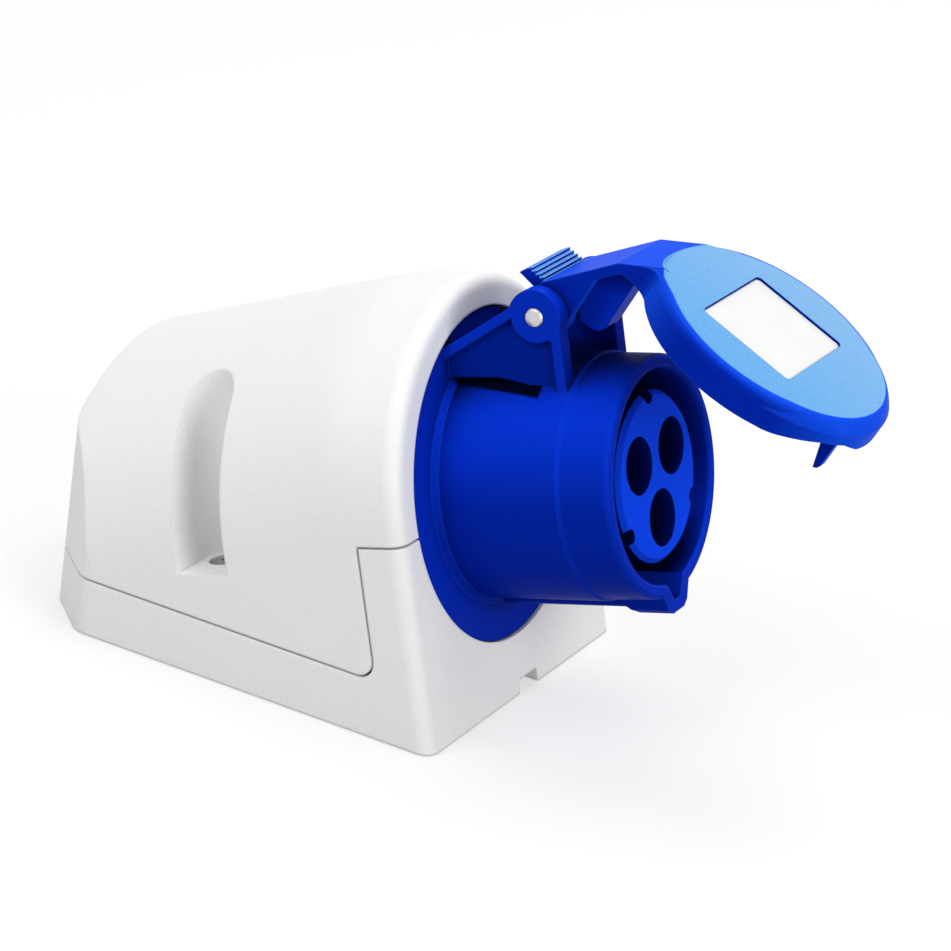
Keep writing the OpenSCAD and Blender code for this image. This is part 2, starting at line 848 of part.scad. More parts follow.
// The heavier bar at the mouth, with a sloped start.
module key_boss() {
    from = mouth - boss_key_length;
    intersection() {
        key_rib(boss_key_width, boss_key_r, from, mouth);
        across(-boss_key_width, boss_key_width)
            polygon([
                [from - tube_r, 0], [from + boss_key_r - tube_r, -boss_key_r - eps],
                [mouth, -boss_key_r - eps], [mouth, 0]
            ]);
    }
}

module socket_body() {
    color(blue)
        socket_frame()
            difference() {
                union() {
                    rotate_extrude()
                        polygon([
                            [bore_r, shelf_front], [bore_r, mouth - rim_chamfer / 2],
                            [bore_r + rim_chamfer / 2, mouth], [collar_r - rim_chamfer, mouth],
                            [collar_r - rim_chamfer / 3, mouth - rim_chamfer / 3],
                            [collar_r, mouth - rim_chamfer],
                            [collar_r + collar_taper, step_out], [tube_r, step_out - step_chamfer],
                            [tube_r, root_flare - flange_sink], [tube_r + root_flare, -flange_sink],
                            [flange_r, -flange_sink], [flange_r, -flange_sink - flange_t],
                            [neck_r, -flange_sink - flange_t], [neck_r, back_front],
                            [back_r, back_front], [back_r, back_end],
                            [insert_disc_r + fit, back_end], [insert_disc_r + fit, -shelf_back],
                            [insert_face_r + fit, -shelf_back], [insert_face_r + fit, shelf_front]
                        ]);
                    ears();
                    key_rib(rib_width, rib_r, -flange_sink - flange_t / 2, mouth - rim_chamfer);
                    key_boss();
                }
                translate([0, 0, shelf_front])
                    linear_extrude(mouth)
                        polygon([
                            [-key_wide / 2, eps - bore_r * cos(asin(key_wide / 2 / bore_r)) + fit],
                            [key_wide / 2, eps - bore_r * cos(asin(key_wide / 2 / bore_r)) + fit],
                            [key_narrow / 2, -key_r], [-key_narrow / 2, -key_r]
                        ]);
                translate([-tall, pin_up, pin_out])
                    rotate([0, 90, 0])
                        cylinder(h = 2 * tall, r = pin_r + run_fit);
                at_fixings()
                    translate([0, 0, -shelf_back - eps])
                        cylinder(h = shelf_t - shelf_back / 4, r = fix_screw_r);
            }
}

module flange_gasket() {
    color(rubber)
        socket_frame()
            translate([0, 0, -seat_depth])
                difference() {
                    cylinder(h = gasket_t, r = flange_r);
                    translate([0, 0, -eps]) cylinder(h = gasket_t + 2 * eps, r = neck_r + fit);
                }
}

// Contacts and insert

module at_contact(turn) {
    rotate([0, 0, turn]) translate([pitch_r, 0, 0]) children();
}

module at_fixings() {
    for (turn = [0, 180]) rotate([0, 0, turn]) translate([fix_circle, 0, 0]) children();
}

// The room for one contact in the insert: entry hole, sleeve hole with room for the ring, shoulder seat.
module contact_room(r) {
    ring_end = sleeve_front - slit_length;
    translate([0, 0, sleeve_front]) cylinder(h = mouth, r = entry_hole_r);
    translate([0, 0, ring_end]) cylinder(h = mouth, r = r + ring_t + fit);
    translate([0, 0, insert_back - eps]) cylinder(h = mouth, r = r + run_fit);
    translate([0, 0, insert_back - eps]) cylinder(h = shoulder_t + eps, r = r + shoulder + run_fit);
}

module contact_insert() {
    color(blue)
        socket_frame()
            difference() {
                rotate_extrude()
                    polygon([
                        [0, insert_back], [insert_disc_r, insert_back], [insert_disc_r, -shelf_back],
                        [insert_face_r, -shelf_back], [insert_face_r, insert_face - rim_chamfer],
                        [insert_face_r - rim_chamfer, insert_face], [0, insert_face]
                    ]);
                at_contact(line_turn) contact_room(pin_sleeve_r);
                at_contact(neutral_turn) contact_room(pin_sleeve_r);
                at_contact(earth_turn) contact_room(earth_sleeve_r);
                for (turn = [line_turn, neutral_turn, earth_turn])
                    rotate([0, 0, turn + 180])
                        translate([insert_face_r - rim_notch_r / 4, 0, insert_face - rim_notch_length])
                            cylinder(h = rim_notch_length + eps, r = rim_notch_r);
                at_fixings()
                    translate([0, 0, insert_back - eps])
                        cylinder(h = insert_disc_t + 2 * eps, r = fix_screw_r + run_fit);
            }
}

module retainer_hole(r) {
    translate([0, 0, -eps]) cylinder(h = retainer_t + 2 * eps, r = r + run_fit);
}

module insert_retainer() {
    color(blue)
        socket_frame()
            translate([0, 0, retainer_back])
                difference() {
                    cylinder(h = retainer_t, r = insert_disc_r);
                    at_contact(line_turn) retainer_hole(pin_sleeve_r);
                    at_contact(neutral_turn) retainer_hole(pin_sleeve_r);
                    at_contact(earth_turn) retainer_hole(earth_sleeve_r);
                    at_fixings() retainer_hole(fix_screw_r);
                }
}

module insert_screws() {
    reach = retainer_t + insert_disc_t + shelf_t - shelf_back / 2;
    color(steel)
        socket_frame()
            at_fixings()
                translate([0, 0, retainer_back])
                    difference() {
                        union() {
                            translate([0, 0, -fix_head_h]) cylinder(h = fix_head_h, r = fix_head_r);
                            translate([0, 0, -eps]) cylinder(h = reach, r = fix_screw_r - run_fit);
                        }
                        translate([-fix_head_r, -fix_screw_r / 4, -fix_head_h - eps])
                            cube([2 * fix_head_r, fix_screw_r / 2, fix_head_h / 2]);
                    }
}

// One contact: a slit sleeve at the front, a shoulder, and a terminal end with its wire hole.
module contact(r, bore) {
    tail = retainer_back - terminal_length;
    color(brass)
        difference() {
            union() {
                translate([0, 0, tail]) cylinder(h = sleeve_front - tail, r = r);
                translate([0, 0, insert_back]) cylinder(h = shoulder_t, r = r + shoulder);
            }
            translate([0, 0, sleeve_front - sleeve_depth]) cylinder(h = mouth, r = bore);
            translate([0, 0, tail - eps]) cylinder(h = wire_depth, r = wire_r);
            for (turn = [0, 90])
                rotate([0, 0, turn])
                    translate([-2 * r, -slit / 2, sleeve_front - slit_length]) cube([4 * r, slit, mouth]);
            translate([0, 0, tail + wire_depth / 2])
                rotate([0, 90, 0])
                    cylinder(h = 2 * r, r = terminal_screw_r + run_fit);
        }
}

module line_contact() {
    socket_frame() at_contact(line_turn) contact(pin_sleeve_r, pin_bore_r);
}

module neutral_contact() {
    socket_frame() at_contact(neutral_turn) contact(pin_sleeve_r, pin_bore_r);
}

module earth_contact() {
    socket_frame() at_contact(earth_turn) contact(earth_sleeve_r, earth_bore_r);
}

module contact_ring(r) {
    translate([0, 0, sleeve_front - ring_w - slit_length / 4])
        difference() {
            cylinder(h = ring_w, r = r + ring_t);
            translate([0, 0, -eps]) cylinder(h = ring_w + 2 * eps, r = r);
        }
}

module contact_rings() {
    color(steel)
        socket_frame() {
            at_contact(line_turn) contact_ring(pin_sleeve_r);
            at_contact(neutral_turn) contact_ring(pin_sleeve_r);
            at_contact(earth_turn) contact_ring(earth_sleeve_r);
        }
}

module terminal_screw(r) {
    translate([wire_r + (r - wire_r) / 4, 0, retainer_back - terminal_length + wire_depth / 2])
        rotate([0, 90, 0])
            difference() {
                cylinder(h = terminal_screw_length, r = terminal_screw_r);
                translate([-2 * terminal_screw_r, -slit / 2, terminal_screw_length - terminal_slot])
                    cube([4 * terminal_screw_r, slit, terminal_screw_length]);
            }
}

module terminal_screws() {
    color(steel)
        socket_frame() {
            at_contact(line_turn) terminal_screw(pin_sleeve_r);
            at_contact(neutral_turn) terminal_screw(pin_sleeve_r);
            at_contact(earth_turn) terminal_screw(earth_sleeve_r);
        }
}

// Lid pieces, drawn shut

function unit(v) = v / norm(v);
function inward(v) = [v[1], -v[0]];
first_run = unit(arm_bend - arm_root);
second_run = unit(arm_foot - arm_bend);
first_in = inward(first_run);
second_in = inward(second_run);
bend_in = arm_bend + (first_in + second_in) * arm_t / (1 + first_in * second_in);

// The arm's skin: from the hinge, down to the bend, and into the cap's flat face.
module arm_side() {
    polygon([
        arm_root, arm_bend, arm_foot, arm_foot - [0, lid_t], arm_foot - [lid_t, lid_t],
        arm_foot + second_in * arm_t, bend_in, arm_root + first_in * arm_t
    ]);
}

// The arm's side webs, from the knuckles to the cap.
module web_side() {
    low = pin_up - knuckle_r;
    end = skirt_end + fit / 2;
    foot = arm_foot[1] - lid_t;
    polygon([
        [pin_out, pin_up + knuckle_r], arm_root, arm_bend, arm_foot, [seat_face + lid_t / 2, foot],
        [end, foot], [end, bend_in[1]], [mouth - web_back, low], [pin_out, low]
    ]);
}

// The thumb tab, which stands up from the arm's root, with grip ridges on its front.
module tab_side() {
    step = tab_height / tab_ridges;
    ridges = [
        for (i = [0 : tab_ridges - 1], k = [1 : 4])
            arm_root + [k == 2 || k == 3 ? ridge : 0, step * (i + k / 5)]
    ];
    polygon(concat(
        [arm_root], ridges, [arm_root + [0, tab_height], arm_root + [-tab_t, tab_height + tab_rise]],
        [arm_root + [-tab_t, 0] + first_in * arm_t / 2, arm_root + first_in * arm_t],
        [arm_root + (first_run + first_in) * arm_t / 2]
    ));
}

// The lug that holds a plug in: it hangs from the arm over the tube.
module lug_side() {
    low = tube_r + lug_gap;
    back = pin_out + lug_back;
    front = back + lug_length;
    tip = [back + lug_round, low + lug_round];
    polygon(concat(
        [for (i = [0 : 4]) tip - lug_round * [cos(90 * i / 4), sin(90 * i / 4)]],
        [[front, low], [front, bend_in[1]], bend_in - first_in * arm_t / 2],
        [arm_root + first_run * lug_height + first_in * arm_t / 2],
        [[back + root_out, low + lug_height + lug_round], [back, low + lug_height]]
    ));
}

// The nose under the free end, a claw that enters the keyway.
module nose_side() {
    out = mouth - nose_reach;
    low = key_r - nose_gap;
    polygon([
        [out, -low + nose_tip], [out + nose_tip / 3, -low + nose_tip / 3], [out + nose_tip, -low],
        [seat_face + eps, -low], [seat_face + eps, -low + nose_root], [mouth - nose_root, -low + nose_root]
    ]);
}

// The cap's rounded edge, from radius r in to the flat face.
function edge_points(r, flat, drop) = [
    for (turn = [90 : -18 : 0]) [flat + (r - flat) * sin(turn), lid_face - drop * (1 - cos(turn))]
];

// The lip's domed top, which meets its front wall in an edge.
function dome_points(r, flat, drop) = [
    for (t = [1 : -0.2 : 0]) [flat + (r - flat) * t, lid_face - drop * pow(t, 1.5)]
];

// One round form of the cap's outside, from the open end at z up to the flat face.
module cap_round(z, r, edge) {
    rotate_extrude()
        polygon(concat([[0, z], [r - skirt_chamfer, z], [r, z + skirt_chamfer]], edge, [[0, lid_face]]));
}

// What the open edge leaves free where it rises to the lip, except for the lip's front wall.
module lip_room() {
    low = mouth + lip_clear;
    foot = low - lip_drop;
    half = lip_half + lip_ramp;
    difference() {
        across(-lid_r, lid_r)
            polygon([
                [skirt_end - lip_clear, lip_rise - bore_r], [skirt_end, lip_rise - bore_r],
                [low, -lip_r], [low, -2 * lip_r], [skirt_end - lip_clear, -2 * lip_r]
            ]);
        rotate([90, 0, 0])
            linear_extrude(3 * lip_r)
                polygon([
                    [-lip_half, foot], [lip_half, foot], [half, low],
                    [half, low + lip_drop], [-half, low + lip_drop], [-half, low]
                ]);
    }
}

// The cap's outside, before it is hollowed: the skirt, and the lip that stands over the keyway.
module cap_form() {
    difference() {
        union() {
            translate([0, -lid_shift, 0])
                cap_round(skirt_end, lid_r, edge_points(lid_r - lid_draft, lid_flat_r, lid_round));
            translate([0, -lip_shift, 0])
                cap_round(skirt_end, lip_r, dome_points(lip_r, lip_r - lip_edge, lip_round));
        }
        lip_room();
    }
}

// Plan of the flare that fills the corner between the arm's side and the cap, and runs into both.
module flare_plan() {
    reach = arm_half + flare_r;
    span = lid_r + flare_r - fit;
    rise = sqrt(span * span - reach * reach);
    last = atan2(rise, reach);
    middle = [reach, rise - lid_shift];
    polygon(concat(
        [for (i = [0 : 5]) middle - flare_r * [cos(last * i / 5), sin(last * i / 5)]],
        [for (d = [flare_r, 0]) [arm_half - web_t / 2, middle[1] - d]]
    ));
}

// Everything below the arm's outer run, d under its face.
module under_run(d) {
    a = arm_bend - second_run * lid_r + second_in * d;
    b = arm_foot + second_run * lid_r + second_in * d;
    across(-lid_r, lid_r) polygon([a, b, b + second_in * lid_r, a + second_in * lid_r]);
}

// The flare on one side. Its upper face falls away from the arm's edge.
module flare() {
    intersection() {
        translate([0, 0, skirt_end + fit / 2]) linear_extrude(lid_face - skirt_end - fit) flare_plan();
        under_run(fit / 2);
        translate([arm_half, arm_bend[1], arm_bend[0]])
            rotate(a = -flare_fall, v = [0, second_run[1], second_run[0]])
                translate([0, -arm_bend[1], -arm_bend[0]])
                    under_run(0);
    }
}

// A plate with rounded corners, lying on its back.
module plate(w, h, r, t) {
    linear_extrude(t)
        polygon([
            for (q = [0 : 3], i = [0 : 4])
                let (turn = 90 * (q + i / 4))
                [
                    (q == 0 || q == 3 ? 1 : -1) * (w / 2 - r) + r * cos(turn),
                    (q < 2 ? 1 : -1) * (h / 2 - r) + r * sin(turn)
                ]
        ]);
}

module lid() {
    ring_out = seal_r - seal_width - run_fit;
    ring_end = mouth + shut_gap + seal_seat / 4;
    color(blue)
        opened() {
            difference() {
                union() {
                    cap_form();
                    across(-arm_half, arm_half) arm_side();
                    for (flip = [0, 1])
                        mirror([flip, 0, 0]) {
                            across(arm_half - web_t, arm_half) web_side();
                            flare();
                            translate([arm_half - knuckle_length, pin_up, pin_out])
                                rotate([0, 90, 0])
                                    cylinder(h = knuckle_length, r = knuckle_r);
                        }
                    across(-tab_half, tab_half) tab_side();
                    across(-lug_half, lug_half) lug_side();
                }
                translate([0, -lid_shift, skirt_end - lid_t])
                    cylinder(h = seat_face - skirt_end + lid_t, r = lid_r - skirt_t);
                translate([0, 0, skirt_end - lid_t])
                    cylinder(h = seat_face - skirt_end + lid_t, r = seal_r + fit / 2);
                translate([0, 0, skirt_end]) cylinder(h = lid_inner - skirt_end, r = ring_out - seal_ring);
                translate([-tall, pin_up, pin_out])
                    rotate([0, 90, 0])
                        cylinder(h = 2 * tall, r = pin_r + run_fit);
                translate([0, -label_drop, lid_face - label_sink])
                    plate(label_w + fit, label_h + fit, label_round + fit / 2, lid_t);
            }
            translate([0, 0, ring_end])
                difference() {
                    cylinder(h = lid_inner - ring_end + eps, r = ring_out);
                    translate([0, 0, -eps]) cylinder(h = lid_inner, r = ring_out - seal_ring);
                }
            across(-nose_t / 2, nose_t / 2) nose_side();
        }
}

module lid_seal() {
    color(rubber)
        opened()
            translate([0, 0, mouth + shut_gap])
                difference() {
                    cylinder(h = seat_face - mouth - shut_gap, r = seal_r);
                    translate([0, 0, -eps]) cylinder(h = seal_seat, r = seal_r - seal_width);
                    translate([-nose_t / 2 - fit, -2 * seal_r, -eps])
                        cube([nose_t + 2 * fit, 2 * seal_r, seal_seat]);
                }
}

module label_plate() {
    color("white")
        opened()
            translate([0, -label_drop, lid_face - label_sink])
                plate(label_w, label_h, label_round, label_t);
}

module hinge_pin() {
    reach = ear_outer + pin_proud;
    half = concat(
        [[pin_r, 0]],
        [for (turn = [0 : 30 : 90]) [pin_r * cos(turn), reach - pin_dome * (1 - sin(turn))]]
    );
    color(steel)
        socket_frame()
            translate([0, pin_up, pin_out])
                rotate([0, 90, 0])
                    rotate_extrude()
                        polygon(concat(half, below(half)));
}

// The spring's wire: a leg on the tube, the coil round the pin, and a leg under the lid's arm.
arm_turn = atan2(-first_in[1], -first_in[0]) + lid_open;
rest_turn = 150;
coil_angle = 360 * coil_turns + rest_turn - arm_turn;
function on_coil(turn, x) = [x, pin_up + coil_r * sin(turn), pin_out + coil_r * cos(turn)];
function along_coil(turn) = [0, -cos(turn), sin(turn)];
tube_top = sqrt(tube_r * tube_r - coil_length * coil_length / 4) + wire + fit / 2;
rest_length = (pin_up + coil_r * sin(rest_turn) - tube_top) / -cos(rest_turn);
coil_steps = 18 * coil_turns;
coil_path = concat(
    [on_coil(rest_turn, -coil_length / 2) - rest_length * along_coil(rest_turn)],
    [
        for (i = [0 : coil_steps])
            on_coil(rest_turn - coil_angle * i / coil_steps, coil_length * (i / coil_steps - 1 / 2))
    ],
    [on_coil(arm_turn, coil_length / 2) + leg_length * along_coil(arm_turn)]
);

// A round wire of radius r swept along a path that never doubles back.
module swept(path, r, sides = 8) {
    count = len(path);
    rings = [
        for (i = [0 : count - 1])
            let (
                t = unit(path[min(i + 1, count - 1)] - path[max(i - 1, 0)]),
                u = unit(cross(t, abs(t[0]) > 0.9 ? [0, 1, 0] : [1, 0, 0])),
                v = cross(t, u)
            )
            for (k = [0 : sides - 1]) path[i] + r * (u * cos(360 * k / sides) + v * sin(360 * k / sides))
    ];
    polyhedron(
        points = rings,
        faces = concat(
            [[for (k = [0 : sides - 1]) k]],
            [
                for (i = [0 : count - 2], k = [0 : sides - 1])
                    let (a = i * sides, b = a + sides, next = (k + 1) % sides)
                    [a + next, a + k, b + k, b + next]
            ],
            [[for (k = [sides - 1 : -1 : 0]) (count - 1) * sides + k]]
        ),
        convexity = 10
    );
}

module hinge_spring() {
    color(steel)
        socket_frame()
            swept(coil_path, wire);
}

wall_base();
housing_cover();
housing_seal();
cover_screws();
screw_seals();
boss_inserts();
entry_grommet();
socket_body();
flange_gasket();
contact_insert();
insert_retainer();
insert_screws();
line_contact();
neutral_contact();
earth_contact();
contact_rings();
terminal_screws();
lid();
lid_seal();
label_plate();
hinge_pin();
hinge_spring();
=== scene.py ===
"""An outdoor power socket on its wall face: pale housing, blue pin-and-sleeve socket, lid half open."""
import math

import bpy
from mathutils import Matrix, Vector


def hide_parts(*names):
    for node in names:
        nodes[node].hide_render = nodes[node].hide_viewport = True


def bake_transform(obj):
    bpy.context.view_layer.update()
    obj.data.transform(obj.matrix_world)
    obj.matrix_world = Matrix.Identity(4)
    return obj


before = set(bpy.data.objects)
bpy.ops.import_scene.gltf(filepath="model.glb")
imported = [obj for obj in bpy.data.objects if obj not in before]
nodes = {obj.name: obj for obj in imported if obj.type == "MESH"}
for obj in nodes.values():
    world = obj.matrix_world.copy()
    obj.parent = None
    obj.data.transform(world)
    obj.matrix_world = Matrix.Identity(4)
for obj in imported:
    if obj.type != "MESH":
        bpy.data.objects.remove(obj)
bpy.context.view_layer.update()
scene = bpy.context.scene
scene.view_settings.view_transform = "Standard"

MM = 0.001

# Directions: along the wall towards the mouth, across it, and off the wall
ALONG = Vector((1, 0, 0))
ACROSS = Vector((0, 1, 0))
OFF_WALL = Vector((0, 0, 1))

# The socket's axis leans up from the wall, and the lid is open about the hinge pin. Places in metres
TILT = math.radians(16.6)
OPEN = math.radians(49.5)
SOCKET = Vector((35.344, 0, 45.808)) * MM
SOCKET_OUT = Vector((math.cos(TILT), 0, math.sin(TILT)))
SOCKET_UP = Vector((-math.sin(TILT), 0, math.cos(TILT)))
HINGE = Vector((44.87, 0, 87.36)) * MM
LID_OUT = Vector((math.cos(TILT + OPEN), 0, math.sin(TILT + OPEN)))
LID_UP = Vector((-math.sin(TILT + OPEN), 0, math.cos(TILT + OPEN)))

# The pin's place along the socket's axis and above it, in mm
PIN_OUT = 21.0
PIN_UP = 37.1

# The camera, at the photograph's angle
CAMERA_PLACE = Vector((362.5, -723.1, 373.9)) * MM
CAMERA_AZIMUTH = math.radians(24.657)
CAMERA_RISE = math.radians(22.53)
CAMERA_ROLL = math.radians(8.245)
CAMERA_LENS = 156.09
CAMERA_SENSOR = 36

# The ears: where they start beside the socket's axis and above it, and their panel and raised border, which
# get painted shade and painted light
EAR_SIDE = 10.8 * MM
EAR_FOOT = 19 * MM
EAR_PANEL_SIDE = 13.3 * MM
EAR_BORDER_SIDE = 13.9 * MM

# A painted shadow in the gap at each ear's foot: a wedge on the tube that widens along the axis
EAR_SHADOW_SIDE = 10.5 * MM
EAR_SHADOW_START = 12.6 * MM
EAR_SHADOW_SLOPE = 0.155
EAR_SHADOW_BLUR = 0.6 * MM
EAR_SHADOW_LENGTH = 20.3 * MM
EAR_SHADOW_RADIUS = 26.2 * MM

# The lid's flat face, which gets a painted sheen: in mm, its place out along the axis when shut, and circles
# (radius, place up) that make its outline; then how far it blurs, how deep it counts, and where the painted
# sheen grows whiter from side to side
FLAT_OUT = 46.3
FLAT_CIRCLES = ((24.3, -2.2), (22.6, -5.4), (20.1, 4.2))
FLAT_BLUR = 0.25 * MM
FLAT_DEPTH = 2.5 * MM
SHEEN_START = -20 * MM
SHEEN_END = 24 * MM

# The lid's thumb tab, with a painted highlight, and its lug, with painted light, at rest: heights off the
# wall and places along it, blurred at the borders
TAB_HEIGHT = (91.5 * MM, 92.5 * MM)
TAB_END = (45 * MM, 46 * MM)
LUG_HEIGHT = (93 * MM, 97 * MM)
LUG_START = 49.5 * MM
LUG_END = 62 * MM
LUG_SIDE = 7.4 * MM

# Colours
HOUSING_PALE = (0.84, 0.84, 0.835)
# Painted highlights at the housing's edges
HOUSING_HIGHLIGHT = (0.94, 0.94, 0.94)
SOCKET_BLUE = (0.001, 0.018, 0.36)
# Painted light on the socket's faces that look off the wall, and painted shade under the lid's arm
SOCKET_LIT = (0.002, 0.034, 0.64)
SOCKET_SHADE = (0.0002, 0.003, 0.03)
# Painted shade on the ears' panels and painted light on their raised borders, and a painted shadow at their
# feet
SHADED_EAR_PANEL = (0.001, 0.014, 0.24)
LIT_EAR_BORDER = (0.002, 0.03, 0.54)
EAR_SHADOW_BLACK = (0.0002, 0.002, 0.014)
INSERT_BLUE = (0.001, 0.02, 0.42)
# Painted light on the insert's face
INSERT_LIT = (0.003, 0.062, 0.88)
LID_BLUE = (0.001, 0.019, 0.38)
# Painted light on the lid, a painted sheen on its flat face that is whiter towards the far side, a painted
# highlight on the tab and painted light on the lug
LID_LIT = (0.006, 0.075, 0.8)
FLAT_SHEEN_TONES = ((0.105, 0.335, 0.69), (0.165, 0.415, 0.75))
FAR_SHEEN_TONES = ((0.175, 0.385, 0.68), (0.255, 0.465, 0.74))
TAB_HIGHLIGHT = (0.16, 0.4, 0.85)
LUG_LIGHT = (0.002, 0.045, 0.82)
# Painted highlights at the blue's edges
BLUE_HIGHLIGHT = (0.012, 0.1, 0.86)
BLUE_SHEEN = (0.2, 0.62, 1.0, 1)
LABEL_TONES = ((0.7, 0.705, 0.71), (0.74, 0.74, 0.74))
RUBBER_TONES = ((0.022, 0.022, 0.024), (0.05, 0.05, 0.053))
PLATED_STEEL = (0.66, 0.66, 0.67)
SCREW_STEEL = (0.4, 0.4, 0.4)
BRASS = (0.76, 0.56, 0.22)

# Finish: how far painted highlights pale the edges, the blue's faint reflection, and how much duller the
# lid's flat face is
BLUE_HIGHLIGHT_SHARE = 0.55
HOUSING_HIGHLIGHT_SHARE = 0.6
BLUE_SPECULAR = 0.008
LABEL_SPECULAR = 0.15
FLAT_DULLER = 0.25

# Soft edges and hollows: rays, the turn of a normal that counts as an edge, and the ends of shut and open
EDGE_RAYS = 6
EDGE_TURN = 0.82
HOLLOW_RAYS = 8
HOLLOW_SHUT = 0.3
HOLLOW_OPEN = 0.8

# The stage: a wide floor just under the wall face, which glows only where it is seen, and a white world
FLOOR_HALF = 30.0
FLOOR_HEIGHT = -0.0003
FLOOR_GREY = (0.45, 0.45, 0.45, 1)
FLOOR_GLOW = 0.52
WORLD_LIGHT = 0.43
WORLD_SEEN = 1.0

# Lamps: name, place, width and height in metres, and watts
LAMPS = (
    ("top", (0.05, 0.22, 0.95), (0.6, 0.5), 3.0),
    ("back", (0.1, 0.95, 0.6), (0.9, 0.5), 2.6),
    ("near", (-0.35, -0.75, 0.8), (0.7, 0.6), 4.7),
    ("right", (0.95, -0.4, 0.48), (0.6, 0.6), 5.0),
)
LAMP_AIM = Vector((0.03, 0, 0.05))


def on_lid(out, up):
    """A point in the lid's middle plane, from its place when shut: out along the axis, up from it, in mm."""
    return HINGE + LID_OUT * (out - PIN_OUT) * MM + LID_UP * (up - PIN_UP) * MM


def tint(colour, share):
    return tuple(c * share for c in colour)


# Camera


def add_camera():
    right = Vector((math.cos(CAMERA_AZIMUTH), math.sin(CAMERA_AZIMUTH), 0))
    level = Vector((math.sin(CAMERA_AZIMUTH), -math.cos(CAMERA_AZIMUTH), 0))
    back = level * math.cos(CAMERA_RISE) + OFF_WALL * math.sin(CAMERA_RISE)
    up = back.cross(right)
    across = math.cos(CAMERA_ROLL) * right + math.sin(CAMERA_ROLL) * up
    above = -math.sin(CAMERA_ROLL) * right + math.cos(CAMERA_ROLL) * up
    data = bpy.data.cameras.new("camera")
    data.lens = CAMERA_LENS
    data.sensor_width = CAMERA_SENSOR
    data.clip_start = 0.05
    data.clip_end = 50
    camera = bpy.data.objects.new("camera", data)
    turn = Matrix((across, above, back)).transposed().to_4x4()
    camera.matrix_world = Matrix.Translation(CAMERA_PLACE) @ turn
    scene.collection.objects.link(camera)
    scene.camera = camera


# Materials


